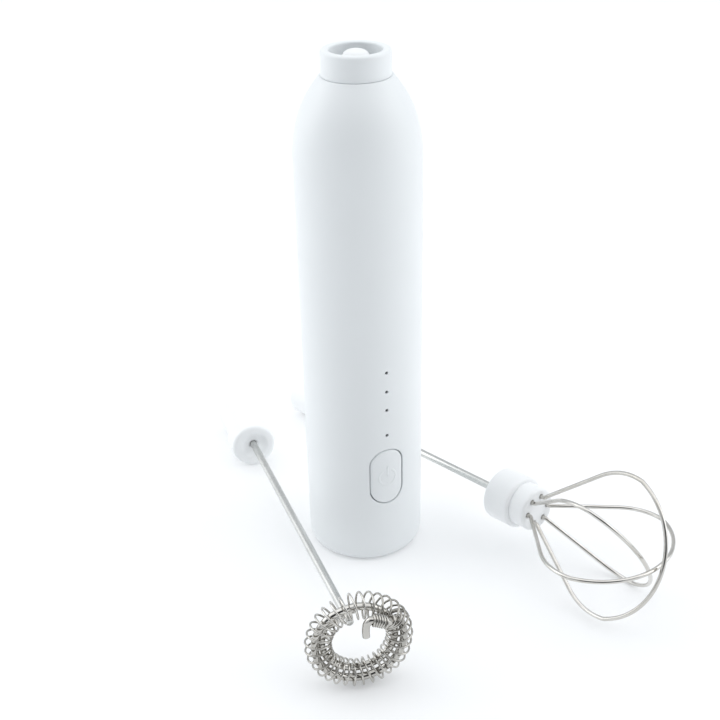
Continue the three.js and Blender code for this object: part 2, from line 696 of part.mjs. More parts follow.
function hubNose() {
  const low = noseStart();
  const high = low + NOSE_L;
  const nose = turned([
    [0, low], [NOSE_R, low], [NOSE_R, high - 1.2], [NOSE_R - 0.5, high - 0.3],
    [NOSE_R - 1, high], [0, high],
  ], 28);
  const holes = LOOPS.flatMap(({ turn }) => [LOOP_ROOT_R, -LOOP_ROOT_R].map((root) => (
    disc(LOOP_WIRE_R + GAP, high - LOOP_ROOT_DEPTH - GAP, high + 1, 10)
      .translate(root, 0, 0)
      .rotateZ(THREE.MathUtils.degToRad(turn)))));
  return cut(nose, ...holes);
}

// Half of a loop, from its root in the nose to its apex on the axis: a straight root, a
// straight flare to a rounded corner, and a quarter of an ellipse over the end.
function halfLoop({ cornerR, station, apex }, side) {
  const nose = noseStart() + NOSE_L;
  const bend = new THREE.Vector2(LOOP_ROOT_R, nose + LOOP_RUN);
  const corner = new THREE.Vector2(cornerR[side], station);
  const flare = corner.clone().sub(bend).normalize();
  const over = (turn) => new THREE.Vector2(
    corner.x * Math.cos(turn), station + (apex - station) * Math.sin(turn));
  const cornerTurn = LOOP_CORNER_ROUND / corner.x;
  const roundStart = corner.clone().addScaledVector(flare, -LOOP_CORNER_ROUND);
  const root = [new THREE.Vector2(LOOP_ROOT_R, nose - LOOP_ROOT_DEPTH), bend];
  const round = new THREE.QuadraticBezierCurve(roundStart, corner, over(cornerTurn)).getPoints(6);
  const arc = [];
  const arcSteps = 7;
  for (let i = 1; i <= arcSteps; i += 1) {
    arc.push(over(cornerTurn + (Math.PI / 2 - cornerTurn) * (i / arcSteps)));
  }
  return [...root, ...round, ...arc];
}

// One loop lies in a plane through the axis.
function balloonLoop(loop) {
  const up = halfLoop(loop, 0).map((point) => new THREE.Vector3(point.x, 0, point.y));
  const down = halfLoop(loop, 1).map((point) => new THREE.Vector3(-point.x, 0, point.y));
  const curve = new PointPath([...up, ...down.slice(0, -1).reverse()]);
  const steps = curve.points.length - 1;
  return wire(curve, LOOP_WIRE_R, 6, steps).rotateZ(THREE.MathUtils.degToRad(loop.turn));
}

// How far the loops reach below the axis when the whisk lies down, and at what station.
function lowestCorner() {
  const corners = LOOPS.flatMap((loop) => [0, 1].map((side) => {
    const widest = halfLoop(loop, side).reduce((a, b) => (b.x > a.x ? b : a));
    const below = Math.sin(THREE.MathUtils.degToRad(loop.turn)) * (side === 0 ? -1 : 1);
    return { depth: widest.x * below, station: widest.y };
  }));
  return corners.reduce((a, b) => (b.depth > a.depth ? b : a));
}

function addBalloonWhisk(group) {
  piece(group, 'balloon_connector', connector(), white);
  piece(group, 'balloon_rod', rod(ROD_START, HUB_STATION + HUB_L - GAP), satinSteel);
  piece(group, 'balloon_hub', hub(), white);
  piece(group, 'balloon_hub_nose', hubNose(), white);
  LOOPS.forEach((loop, i) => {
    piece(group, `balloon_loop_${i + 1}`, balloonLoop(loop), steel);
  });
}

// Lays a whisk on the surface, where its far end touches and so does the stem's end or
// the head's rear rim. The whisk points along heading, an angle from -Y towards +X.
function layDown(group, end, heading, farRadius, farStation) {
  const supports = [{ at: 0, radius: STEM_R }, { at: STEM_L, radius: HEAD_R }];
  const climb = Math.min(...supports.map(({ at, radius }) => (
    Math.atan2(farRadius - radius, farStation - at))));
  const height = Math.max(...supports.map(({ at, radius }) => (
    radius * Math.cos(climb) - at * Math.sin(climb))));
  const ahead = new THREE.Vector3(
    Math.sin(heading) * Math.cos(climb), -Math.cos(heading) * Math.cos(climb), Math.sin(climb));
  const right = new THREE.Vector3().crossVectors(new THREE.Vector3(0, 0, 1), ahead).normalize();
  const up = new THREE.Vector3().crossVectors(ahead, right);
  group.setRotationFromMatrix(new THREE.Matrix4().makeBasis(right, up, ahead));
  group.position.set(end.x, end.y, height);
}

// ---- Assembly ----
const frother = new THREE.Group();
const handle = new THREE.Group();
addHandle(handle);
addMotor(handle);
frother.add(handle);

const frothWhisk = new THREE.Group();
addFrothWhisk(frothWhisk);
layDown(frothWhisk, FROTH_END, FROTH_HEADING, RING_R + COIL_R + COIL_WIRE_R, RING_STATION);
frother.add(frothWhisk);

const balloonWhisk = new THREE.Group();
addBalloonWhisk(balloonWhisk);
const lowest = lowestCorner();
const balloonDrop = lowest.depth + LOOP_WIRE_R + REST_GAP;
layDown(balloonWhisk, BALLOON_END, BALLOON_HEADING, balloonDrop, lowest.station);
frother.add(balloonWhisk);

export default frother;
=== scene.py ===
"""The looks of a rechargeable milk frother: its upright handle and its two loose whisks.

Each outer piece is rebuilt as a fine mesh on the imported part's own dimensions, and the pieces
inside the handle keep their solids with materials of their own. Helper functions work in
millimetres; objects are in metres.
"""
import math

import bpy
import numpy as np
from mathutils import Matrix, Vector


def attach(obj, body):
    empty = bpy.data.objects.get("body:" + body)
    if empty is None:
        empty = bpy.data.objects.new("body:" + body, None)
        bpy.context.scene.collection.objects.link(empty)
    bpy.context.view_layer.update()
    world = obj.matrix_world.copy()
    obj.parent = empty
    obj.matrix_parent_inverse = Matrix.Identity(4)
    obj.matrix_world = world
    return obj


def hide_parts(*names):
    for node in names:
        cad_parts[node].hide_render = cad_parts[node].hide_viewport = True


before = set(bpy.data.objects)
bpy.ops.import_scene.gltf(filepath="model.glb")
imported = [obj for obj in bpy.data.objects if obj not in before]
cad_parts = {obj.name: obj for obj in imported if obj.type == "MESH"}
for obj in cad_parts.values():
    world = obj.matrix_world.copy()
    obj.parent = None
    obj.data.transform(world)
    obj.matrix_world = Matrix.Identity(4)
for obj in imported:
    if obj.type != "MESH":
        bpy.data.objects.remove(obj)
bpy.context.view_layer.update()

MM = 0.001
TAU = 2 * math.pi

# ---- Dimensions of the part, in millimetres ----
GAP = 0.3
BODY_R = 17.8
WALL = 1.7
INNER_R = BODY_R - WALL
BASE_R = 15.8
SHOULDER_Z = 124
SHOULDER_TOP_R = 9.9
SHOULDER_PULLS = [(BODY_R, 136), (15, 141.5)]
INNER_PULLS = [(INNER_R, 133), (13.2, 139)]
HEEL_W = 1.25
HEEL_H = 3.1
SHELL_FOOT = 0.75
SEAM_Z = 147.9
LIP_R = 9.2
LIP_Z = 144.8
COLLAR_R = 9.4
RIM_Z = 154.7
SOCKET_R = 7.1
SOCKET_FLOOR_Z = 136
FLOOR_T = 2
SPIGOT_R = 3.6
SPIGOT_LOW = 129
SPIGOT_HIGH = 154.6
SPIGOT_DOME = 1.9
SPIGOT_FLANGE_R = 5.2
SPIGOT_FLANGE_T = 1.4
SPIGOT_TOP_T = 2.6
SHAFT_R = 1

BUTTON_W = 10.2
BUTTON_H = 18.9
BUTTON_Z = 31.1
BUTTON_GAP = 0.3
BUTTON_FLANGE = 1.5
BUTTON_FLANGE_Y = -13.8
BUTTON_FLANGE_T = 0.9
LIGHT_Z = [67.0, 60.7, 54.5, 45.9]
LIGHT_HOLE_R = 0.5
INLET_Z = 12.8
INLET_W = 8.9
INLET_H = 3.2
INLET_Y = [9.9, 17.3]
INLET_CORNER = 0.12
INLET_WALL = 0.35
TONGUE_W = 6.4
TONGUE_T = 0.7
BASE_RING_W = 1.4
BASE_RING_H = 7
BASE_FLOOR_H = 3
BASE_SCREW_X = 9
BASE_SCREW_Y = -4
SCREW_HEAD_HOLE_R = 2.3
SCREW_HEAD_HOLE_TOP = 2.4
SCREW_SHANK_HOLE_R = 1.3

STEM_R = 6.4
STEM_L = 18.5
HEAD_R = 7.6
CONNECTOR_L = 27
CONNECTOR_BORE_R = 3.9
CONNECTOR_BORE_L = 18.9
DISH_R = 4.75
DISH_DEPTH = 1.3
ROD_R = 1.2
ROD_START = CONNECTOR_BORE_L + 0.7
ROD_END_GAP = 0.4

RING_STATION = 137
ROD_TIP_BACK = 7
RING_R = 11.1
RING_WIRE_R = 1.05
WELD_DEPTH = 0.12
RING_LEAN = math.radians(-7.5)
STRAND_OUT = 1.05
STRAND_FRONT = 0.85
STRAND_SWAP = 1.4  # the angle over which the wire changes strand
COIL_R = 3.5
COIL_WIRE_R = 0.3
BUNDLE_R = 1.5
BUNDLE_FRONT = 6.1
BUNDLE_IN = 0.15
RING_WIRE_START = math.radians(8)
BUNDLE_START = math.radians(6)
BUNDLE_END = math.radians(23)
LEAD_END = math.radians(58)
HOOK_ANGLE = math.radians(81)
# The hook's points in the ring's plane, and how far each is behind the bundle's middle.
HOOK_POINTS = [(1.0, 5.1, 0.7), (0.95, 7.2, 0.6), (1.3, 9.4, 0.3), (2.4, 10.6, 0.1)]
SPOKE_ANGLE = math.radians(150)
COIL_END = math.radians(422)
FROTH_END = (-19.7, 75.1)
FROTH_HEADING = math.radians(-3.6)

HUB_STATION = 103
HUB_R = 8.2
HUB_L = 9.6
NOSE_START = HUB_STATION + HUB_L
NOSE_R = 6.8
NOSE_END = 118.3
NOSE_HOLE_DEPTH = 2.2
LOOP_WIRE_R = 0.62
LOOP_ROOT_R = 4.3
LOOP_ROOT_DEPTH = 4
LOOP_RUN = 1
LOOP_CORNER_ROUND = 8
# Each loop: its plane's turn, its corners' radii on either side, their station, its apex.
LOOPS = [
    {"turn": math.radians(66.2), "corner_r": (22.5, 22.1), "station": 142.6, "apex": 163.8},
    {"turn": math.radians(-1.2), "corner_r": (22.7, 21.5), "station": 140.4, "apex": 161.9},
    {"turn": math.radians(-58.5), "corner_r": (25.1, 21.2), "station": 139.5, "apex": 157.7},
]
BALLOON_END = (7.5, 76.1)
BALLOON_HEADING = math.radians(16.8)
REST_GAP = 0.2

# ---- Camera, lights and floor ----
CAMERA_AT = (-0.1125, -0.2690, 0.2270)
CAMERA_AZIMUTH = math.radians(-22.7)
CAMERA_YAW = math.radians(-0.13)
CAMERA_PITCH = math.radians(29.47)
CAMERA_ROLL = math.radians(-1.26)
CAMERA_LENS = 56.08
FLOOR_HALF = 4.0
FLOOR_GLOW = 0.24  # the surface is lit from below, as on a light table
WORLD_COLOR = (0.93, 0.965, 1.0)
WORLD_STRENGTH = 0.68
LIGHT_AIM = (0, 0, 0.06)
# Name, angle round the object, distance, height, size and power of each light.
SOFTBOXES = [
    ("overhead", 180, 0.15, 1.3, (4.6, 1.7), 18.5),
    ("left", -105, 1.0, 0.45, (0.9, 0.8), 2.7),
    ("right", 85, 1.0, 0.45, (0.9, 0.8), 2.4),
    ("rear", 180, 1.3, 0.6, (1.6, 0.9), 0.3),
]
CARD_SIZE = (0.9, 0.66)
CARD_AT = (0.75, 0.42)


# ---- Materials ----
class Look:
    """A Principled material with helpers for its procedural detail."""

    def __init__(self, name, color, roughness, **sockets):
        self.material = bpy.data.materials.new(name)
        self.material.use_nodes = True
        self.nodes = self.material.node_tree.nodes
        self.links = self.material.node_tree.links
        self.shader = self.nodes["Principled BSDF"]
        self.shader.inputs["Base Color"].default_value = (*color, 1)
        self.shader.inputs["Roughness"].default_value = roughness
        for key, value in sockets.items():
            self.shader.inputs[key.replace("_", " ")].default_value = value
        self.last_normal = None

    def coordinates(self, kind="Object", stretch=(1, 1, 1)):
        source = self.nodes.new("ShaderNodeTexCoord")
        mapping = self.nodes.new("ShaderNodeMapping")
        mapping.inputs["Scale"].default_value = stretch
        self.links.new(source.outputs[kind], mapping.inputs["Vector"])
        return mapping.outputs["Vector"]

    def noise(self, scale, detail=2, kind="Object", stretch=(1, 1, 1)):
        texture = self.nodes.new("ShaderNodeTexNoise")
        texture.inputs["Scale"].default_value = scale
        texture.inputs["Detail"].default_value = detail
        self.links.new(self.coordinates(kind, stretch), texture.inputs["Vector"])
        return texture.outputs["Fac"]

    def cells(self, scale, feature="F1"):
        texture = self.nodes.new("ShaderNodeTexVoronoi")
        texture.feature = feature
        texture.inputs["Scale"].default_value = scale
        self.links.new(self.coordinates(), texture.inputs["Vector"])
        return texture.outputs["Distance"]

    def waves(self, scale, direction="Z", distortion=0):
        texture = self.nodes.new("ShaderNodeTexWave")
        texture.bands_direction = direction
        texture.inputs["Scale"].default_value = scale
        texture.inputs["Distortion"].default_value = distortion
        self.links.new(self.coordinates(), texture.inputs["Vector"])
        return texture.outputs["Fac"]

    def color_from(self, factor, low, high, start=0.3, end=0.7):
        ramp = self.nodes.new("ShaderNodeValToRGB")
        ramp.color_ramp.elements[0].position = start
        ramp.color_ramp.elements[0].color = (*low, 1)
        ramp.color_ramp.elements[1].position = end
        ramp.color_ramp.elements[1].color = (*high, 1)
        self.links.new(factor, ramp.inputs["Fac"])
        self.links.new(ramp.outputs["Color"], self.shader.inputs["Base Color"])

    def roughness_from(self, factor, low, high):
        spread = self.nodes.new("ShaderNodeMapRange")
        spread.inputs["From Min"].default_value = 0.3
        spread.inputs["From Max"].default_value = 0.7
        spread.inputs["To Min"].default_value = low
        spread.inputs["To Max"].default_value = high
        self.links.new(factor, spread.inputs["Value"])
        self.links.new(spread.outputs["Result"], self.shader.inputs["Roughness"])

    def bump_from(self, factor, height_mm, strength=1.0):
        bump = self.nodes.new("ShaderNodeBump")
        bump.inputs["Distance"].default_value = height_mm * MM
        bump.inputs["Strength"].default_value = strength
        self.links.new(factor, bump.inputs["Height"])
        if self.last_normal is not None:
            self.links.new(self.last_normal, bump.inputs["Normal"])
        self.last_normal = bump.outputs["Normal"]
        self.links.new(self.last_normal, self.shader.inputs["Normal"])


def moulded(name, color, roughness, grain_mm, shade=0.97, **sockets):
    """Moulded plastic: a fine spark-eroded grain, a slow unevenness and small changes of gloss."""
    look = Look(name, color, roughness, **sockets)
    cloudy = look.noise(55, 3)
    look.color_from(cloudy, tuple(c * shade for c in color), color)
    look.roughness_from(look.noise(240, 4), roughness - 0.04, roughness + 0.05)
    look.bump_from(look.noise(1 / (grain_mm * MM), 3), grain_mm * 0.06, 0.35)
    look.bump_from(cloudy, 0.02, 0.25)
    return look.material


def drawn_wire(name, dark, light, rough_low, rough_high):
    """Stainless wire: lines along its length from the drawing die, and small changes of tint."""
    look = Look(name, light, rough_low, Metallic=1.0)
    look.color_from(look.noise(90, 3), dark, light)
    streaks = look.noise(9, 4, "UV", (6, 0.05, 1))
    look.roughness_from(streaks, rough_low, rough_high)
    look.bump_from(streaks, 0.012, 0.5)
    look.bump_from(look.noise(2200, 2), 0.004, 0.3)
    return look.material


def plated(name, color, roughness, tint=0.82):
    """Formed or machined metal with faint lathe lines and uneven plating."""
    look = Look(name, color, roughness, Metallic=1.0)
    look.color_from(look.noise(300, 3), tuple(c * tint for c in color), color)
    look.roughness_from(look.noise(900, 3), roughness - 0.05, roughness + 0.1)
    look.bump_from(look.waves(2600, "Z", 0.6), 0.004, 0.4)
    return look.material


def circuit_board():
    look = Look("green_board", (0.02, 0.13, 0.06), 0.32, Coat_Weight=0.6, Coat_Roughness=0.15)
    tracks = look.cells(420, "DISTANCE_TO_EDGE")
    look.color_from(tracks, (0.05, 0.24, 0.1), (0.015, 0.1, 0.045), 0.02, 0.09)
    look.bump_from(tracks, 0.03, 0.4)
    return look.material


def windings():
    look = Look("copper_winding", (0.6, 0.26, 0.12), 0.3, Metallic=1.0)
    turns = look.waves(1500, "Z", 0.4)
    # The colour runs dark in the grooves between the turns and light on their crests: painted shade and
    # painted highlight.
    look.color_from(turns, (0.28, 0.1, 0.04), (0.66, 0.3, 0.14))
    look.bump_from(turns, 0.08, 0.7)
    return look.material


def shrink_wrap():
    look = Look("cell_wrap", (0.03, 0.16, 0.4), 0.3, Coat_Weight=0.4)
    wrinkles = look.noise(130, 5, "Object", (1, 1, 3))
    look.color_from(wrinkles, (0.025, 0.12, 0.33), (0.04, 0.2, 0.46))
    look.bump_from(wrinkles, 0.06, 0.5)
    return look.material


def smoked_plastic():
    """The light guide: smoky and dark while its lights are off."""
    look = Look("clear_plastic", (0.1, 0.105, 0.11), 0.18, Transmission_Weight=0.2, IOR=1.49)
    look.roughness_from(look.noise(500, 2), 0.14, 0.24)
    look.color_from(look.noise(260, 2), (0.05, 0.052, 0.056), (0.12, 0.125, 0.13))
    return look.material


LOOKS = {
    "handle_white": moulded("handle_white", (0.865, 0.893, 0.906), 0.42, 0.11, 0.99),
    "connector_white": moulded("connector_white", (0.925, 0.938, 0.945), 0.36, 0.16, 0.985),
    "bright_wire": drawn_wire("bright_wire", (0.55, 0.53, 0.49), (0.72, 0.705, 0.68), 0.10, 0.20),
    # A darker copy of bright_wire, with its dark and light ends further apart: painted shade for the
    # gaps between the coil's turns and for the dark side the ring reflects.
    "coil_wire_painted_shade": drawn_wire("coil_wire_painted_shade", (0.34, 0.328, 0.30), (0.66, 0.645, 0.615), 0.08, 0.16),
    "satin_rod": drawn_wire("satin_rod", (0.60, 0.605, 0.59), (0.70, 0.705, 0.69), 0.24, 0.34),
    "grey_plastic": moulded("grey_plastic", (0.09, 0.095, 0.1), 0.55, 0.2, 0.8),
    "plated_steel": plated("plated_steel", (0.62, 0.62, 0.61), 0.26),
    "black_plastic": moulded("black_plastic", (0.022, 0.022, 0.024), 0.5, 0.2, 0.75),
    "black_rubber": moulded("black_rubber", (0.016, 0.016, 0.016), 0.75, 0.3, 0.7),
    "ferrite": moulded("ferrite", (0.05, 0.047, 0.045), 0.7, 0.35, 0.6),
    "green_board": circuit_board(),
    "copper_winding": windings(),
    "bronze_bush": plated("bronze_bush", (0.55, 0.36, 0.16), 0.36, 0.7),
    "cell_wrap": shrink_wrap(),
    "clear_plastic": smoked_plastic(),
}


# ---- Meshes ----
def make_object(name, points, faces, look, sharp=35, uvs=None):
    """An object from points in millimetres, smooth but for edges over the sharp angle."""
    mesh = bpy.data.meshes.new(name)
    mesh.from_pydata([tuple(MM * c for c in point) for point in points], [], faces)
    mesh.validate()
    if uvs is not None:
        layer = mesh.uv_layers.new(name="wire")
        layer.data.foreach_set("uv", np.array(uvs, np.float32).ravel())
    mesh.shade_smooth()
    mesh.set_sharp_from_angle(angle=math.radians(sharp))
    mesh.materials.append(LOOKS[look])
    obj = bpy.data.objects.new(name, mesh)
    bpy.context.scene.collection.objects.link(obj)
    return obj


def settle(obj, body, look, *nodes, place=None):
    """Puts a finished piece in place: it rides on its body and stands for its CAD nodes."""
    if place is not None:
        obj.data.transform(place)
    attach(obj, body)
    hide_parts(*nodes)
    return obj


def rounded(corners, closed=False, steps=6):
    """A profile of (radius, z, fillet) corners with an arc in each corner that has a fillet."""
    count = len(corners)
    outline = []
    for i, corner in enumerate(corners):
        here = Vector(corner[:2])
        fillet = corner[2] if len(corner) > 2 else 0
        if fillet == 0 or (not closed and i in (0, count - 1)):
            outline.append(tuple(here))
            continue
        back = (Vector(corners[i - 1][:2]) - here).normalized()
        ahead = (Vector(corners[(i + 1) % count][:2]) - here).normalized()
        half = back.angle(ahead) / 2
        reach = fillet / math.tan(half)
        centre = here + (back + ahead).normalized() * (fillet / math.sin(half))
        start = here + back * reach - centre
        sweep_angle = start.angle_signed(here + ahead * reach - centre)
        for k in range(steps + 1):
            turn = -sweep_angle * k / steps
            c, s = math.cos(turn), math.sin(turn)
            outline.append((centre.x + start.x * c - start.y * s,
                            centre.y + start.x * s + start.y * c))
    return outline


def turned(name, outline, look, sides=128, closed=False, sharp=35):
    """A profile turned about Z. Its points run counter-clockwise, outside going up."""
    points, faces, rings = [], [], []
    for radius, z in outline:
        if radius < 1e-6:
            rings.append([len(points)] * sides)
            points.append((0, 0, z))
            continue
        rings.append(range(len(points), len(points) + sides))
        points.extend((radius * math.cos(TAU * k / sides), radius * math.sin(TAU * k / sides), z)
                      for k in range(sides))
    pairs = list(zip(rings, rings[1:]))
    if closed:
        pairs.append((rings[-1], rings[0]))
    for low, high in pairs:
        for k in range(sides):
            n = (k + 1) % sides
            corners = [low[k], low[n], high[n], high[k]]
            faces.append([c for j, c in enumerate(corners) if c != corners[j - 1]])
    return make_object(name, points, faces, look, sharp)


def lofted(name, rings, look, sharp=35):
    """A closed skin through rings of equal count, closed with a face at each end."""
    count = len(rings[0])
    points = [p for ring in rings for p in ring]
    faces = [list(range(count))[::-1]]
    for r in range(len(rings) - 1):
        for k in range(count):
            n = (k + 1) % count
            faces.append([r * count + k, r * count + n, (r + 1) * count + n, (r + 1) * count + k])
    faces.append([(len(rings) - 1) * count + k for k in range(count)])
    return make_object(name, points, faces, look, sharp)


def swept(name, path, radius, look, sides):
    """A round wire along a path, with slightly domed ends. V runs along it in millimetres."""
    path = np.array([tuple(p) for p in path], float)
    tangents = np.gradient(path, axis=0)
    tangents /= np.linalg.norm(tangents, axis=1)[:, None]
    side = np.cross(tangents[0], (0.13, 0.31, 0.94))
    side /= np.linalg.norm(side)
    rings = []
    steps = np.linalg.norm(np.diff(path, axis=0), axis=1)
    length = np.concatenate(([0], np.cumsum(steps)))
    for centre, tangent, along in zip(path, tangents, length):
        side = side - tangent * (side @ tangent)
        side /= np.linalg.norm(side)
        rings.append((centre, tangent, side, along))
    sizes = [radius] * len(rings)
    dome = [(0.30, 0.55), (0.18, 0.83), (0.06, 0.97)]
    first, last = rings[0], rings[-1]
    front = [(first[0] - first[1] * radius * out, *first[1:]) for out, _ in dome]
    rear = [(last[0] + last[1] * radius * out, *last[1:]) for out, _ in dome[::-1]]
    rings = front + rings + rear
    sizes = [radius * s for _, s in dome] + sizes + [radius * s for _, s in dome[::-1]]
    points, faces, uvs = [], [], []
    turn = np.arange(sides) * TAU / sides
    for (centre, tangent, side, _), size in zip(rings, sizes):
        other = np.cross(tangent, side)
        points.extend(centre + size * (np.cos(a) * side + np.sin(a) * other) for a in turn)
    for i in range(len(rings) - 1):
        v0, v1 = rings[i][3], rings[i + 1][3]
        for k in range(sides):
            n = (k + 1) % sides
            faces.append([i * sides + k, i * sides + n, (i + 1) * sides + n, (i + 1) * sides + k])
            u0, u1 = k / sides, (k + 1) / sides
            uvs.extend([(u0, v0), (u1, v0), (u1, v1), (u0, v1)])
    faces.append(list(range(sides))[::-1])
    faces.append([(len(rings) - 1) * sides + k for k in range(sides)])
    uvs.extend([(0, 0)] * (2 * sides))
    return make_object(name, points, faces, look, 60, uvs)


def spline(points, spacing):
    """A centripetal Catmull-Rom curve through the points, in steps of about the spacing."""
    known = [Vector(p) for p in points]
    known = [known[0] * 2 - known[1], *known, known[-1] * 2 - known[-2]]
    curve = []
    for a, b, c, d in zip(known, known[1:], known[2:], known[3:]):
        t1 = math.sqrt((b - a).length)
        t2 = t1 + math.sqrt((c - b).length)
        t3 = t2 + math.sqrt((d - c).length)
        count = max(1, math.ceil((c - b).length / spacing))
        for i in range(count):
            t = t1 + (t2 - t1) * i / count
            share = (t - t1) / (t2 - t1)
            ab = a.lerp(b, t / t1)
            bc = b.lerp(c, share)
            cd = c.lerp(d, (t - t2) / (t3 - t2))
            curve.append(ab.lerp(bc, t / t2).lerp(bc.lerp(cd, (t - t1) / (t3 - t1)), share))
    curve.append(known[-2])
    return curve


def carve(obj, *cutters):
    """Cuts the cutters out of obj, shades the result smooth and removes the cutters."""
    for cutter in cutters:
        step = obj.modifiers.new("cut", "BOOLEAN")
        step.operation = "DIFFERENCE"
        step.solver = "EXACT"
        step.object = cutter
    shape = obj.evaluated_get(bpy.context.evaluated_depsgraph_get())
    mesh = bpy.data.meshes.new_from_object(shape)
    obj.modifiers.clear()
    obj.data = mesh
    mesh.shade_smooth()
    mesh.set_sharp_from_angle(angle=math.radians(30))
    for cutter in cutters:
        bpy.data.objects.remove(cutter)
    return obj


def smooth(x):
    """An S-shaped rise from 0 to 1."""
    t = min(1.0, max(0.0, x))
    return t * t * (3 - 2 * t)


def bezier(corners, steps):
    """Points of a cubic Bezier curve, both ends included."""
    a, b, c, d = (Vector(p) for p in corners)
    curve = []
    for i in range(steps + 1):
        t = i / steps
        u = 1 - t
        curve.append(tuple(u**3 * a + 3 * u * u * t * b + 3 * u * t * t * c + t**3 * d))
    return curve


def stadium(width, height, count):
    """Round a stadium in XZ: pairs of a point on its middle line and the outward direction."""
    radius = min(width, height) / 2
    straight = abs(height - width)
    arc = math.pi * radius
    pairs = []
    for i in range(count):
        s = i / count * 2 * (arc + straight)
        if s < arc:
            at, angle = straight / 2, s / radius
        elif s < arc + straight:
            at, angle = straight / 2 - (s - arc), math.pi
        elif s < 2 * arc + straight:
            at, angle = -straight / 2, math.pi + (s - arc - straight) / radius
        else:
            at, angle = -straight / 2 + (s - 2 * arc - straight), TAU
        middle, out = (0.0, at), (math.cos(angle), math.sin(angle))
        if width > height:
            middle, out = (at, 0.0), (math.sin(angle), -math.cos(angle))
        pairs.append((Vector(middle), Vector(out)))
    return pairs


def on_wall(offset_outline, z, depth, side=-1):
    """Points at a depth under the handle's round wall: side is -1 for its front, 1 for its back."""
    return [(p.x, side * (math.sqrt(BODY_R**2 - p.x**2) - depth), z + p.y)
            for p in offset_outline]


def flat_rings(pairs, bands, z):
    """Rings round a stadium at each band's (reach, y), square to the Y axis."""
    return [[((m + o * reach).x, y, z + (m + o * reach).y) for m, o in pairs] for reach, y in bands]


def wall_cutter(name, width, height, z, lip, side=-1, count=96):
    """A stadium cutter through the handle's wall, with a small rounded lip at the surface."""
    pairs = stadium(width, height, count)
    radius = min(width, height) / 2
    bands = [(0, 5.5), (0, lip)]
    bands += [(lip * (1 - math.cos(t)), lip * (1 - math.sin(t)))
              for t in (0.35, 0.7, 1.05, 1.35)]
    bands += [(lip * 1.02, -0.15), (lip * 1.02, -0.9)]
    rings = [on_wall([m + o * (radius + grow) for m, o in pairs], z, depth, side)
             for grow, depth in bands]
    if side > 0:
        rings = [ring[::-1] for ring in rings]
    return lofted(name, rings, "handle_white")


# ---- Handle ----
def shell():
    outside = bezier([(BODY_R, SHOULDER_Z), *SHOULDER_PULLS, (SHOULDER_TOP_R, SEAM_Z)], 40)
    inside = bezier([(INNER_R, SHOULDER_Z - 2), *INNER_PULLS, (LIP_R, LIP_Z)], 16)
    heel = [(BODY_R - HEEL_W * (1 - math.sin(t)), SHELL_FOOT + HEEL_H * (1 - math.cos(t)))
            for t in np.linspace(0, math.pi / 2, 12)]
    wall = [(BODY_R, z) for z in np.linspace(SHELL_FOOT + HEEL_H + 0.05, SHOULDER_Z, 50)][1:-1]
    top = [(SHOULDER_TOP_R - 0.12, SEAM_Z), (LIP_R + 0.1, SEAM_Z), (LIP_R, SEAM_Z - 0.1)]
    outline = [(INNER_R, SHELL_FOOT), *heel, *wall, *outside, *top, *inside[::-1]]
    body = turned("shell_fine", outline, "handle_white", 224, closed=True)
    cutters = [wall_cutter("button_hole", BUTTON_W + 2 * BUTTON_GAP, BUTTON_H + 2 * BUTTON_GAP,
                           BUTTON_Z, 0.28, count=160)]
    cutters += [wall_cutter(f"light_hole_{i}", 2 * LIGHT_HOLE_R, 2 * LIGHT_HOLE_R, z, 0.08, count=32)
                for i, z in enumerate(LIGHT_Z)]
    cutters.append(wall_cutter("inlet_hole", INLET_W + 2 * GAP, INLET_H + 2 * GAP, INLET_Z, 0.3, 1))
    settle(carve(body, *cutters), "handle", "handle_white", "body_shell")


def base():
    ring_inner = BASE_R - BASE_RING_W
    outline = rounded([
        (0, 0.35), (BASE_R - 3.2, 0.35, 0.2), (BASE_R - 3.0, 0, 0.15), (BASE_R, 0, 0.5),
        (BASE_R, BASE_RING_H, 0.3), (ring_inner, BASE_RING_H, 0.3),
        (ring_inner, BASE_FLOOR_H, 0.4), (0, BASE_FLOOR_H)])
    cap = turned("base_fine", outline, "handle_white", 160)
    mouth = SCREW_HEAD_HOLE_R + 0.2
    hole_outline = [(0, -1), (mouth, -1), (mouth, 0.4), (SCREW_HEAD_HOLE_R, 0.6),
                    (SCREW_HEAD_HOLE_R, SCREW_HEAD_HOLE_TOP), (SCREW_SHANK_HOLE_R, SCREW_HEAD_HOLE_TOP),
                    (SCREW_SHANK_HOLE_R, BASE_FLOOR_H + 2), (0, BASE_FLOOR_H + 2)]
    holes = []
    for i, side in enumerate((-1, 1)):
        hole = turned(f"screw_hole_{i}", hole_outline, "handle_white", 40)
        hole.location = (side * BASE_SCREW_X * MM, BASE_SCREW_Y * MM, 0)
        holes.append(hole)
    bpy.context.view_layer.update()
    settle(carve(cap, *holes), "handle", "handle_white", "base_cap")


def collar():
    neck = LIP_R - GAP
    inner = SPIGOT_R + GAP + 0.2
    low = SOCKET_FLOOR_Z - FLOOR_T
    outline = rounded([
        (inner, low), (neck, low, 0.3), (neck, SEAM_Z + 0.05), (COLLAR_R, SEAM_Z + 0.05, 0.1),
        (COLLAR_R, RIM_Z, 0.85), (SOCKET_R, RIM_Z, 0.55), (SOCKET_R, SOCKET_FLOOR_Z, 0.5),
        (inner, SOCKET_FLOOR_Z, 0.2)], closed=True, steps=8)
    settle(turned("collar_fine", outline, "handle_white", 144, closed=True),
           "handle", "handle_white", "socket_collar")


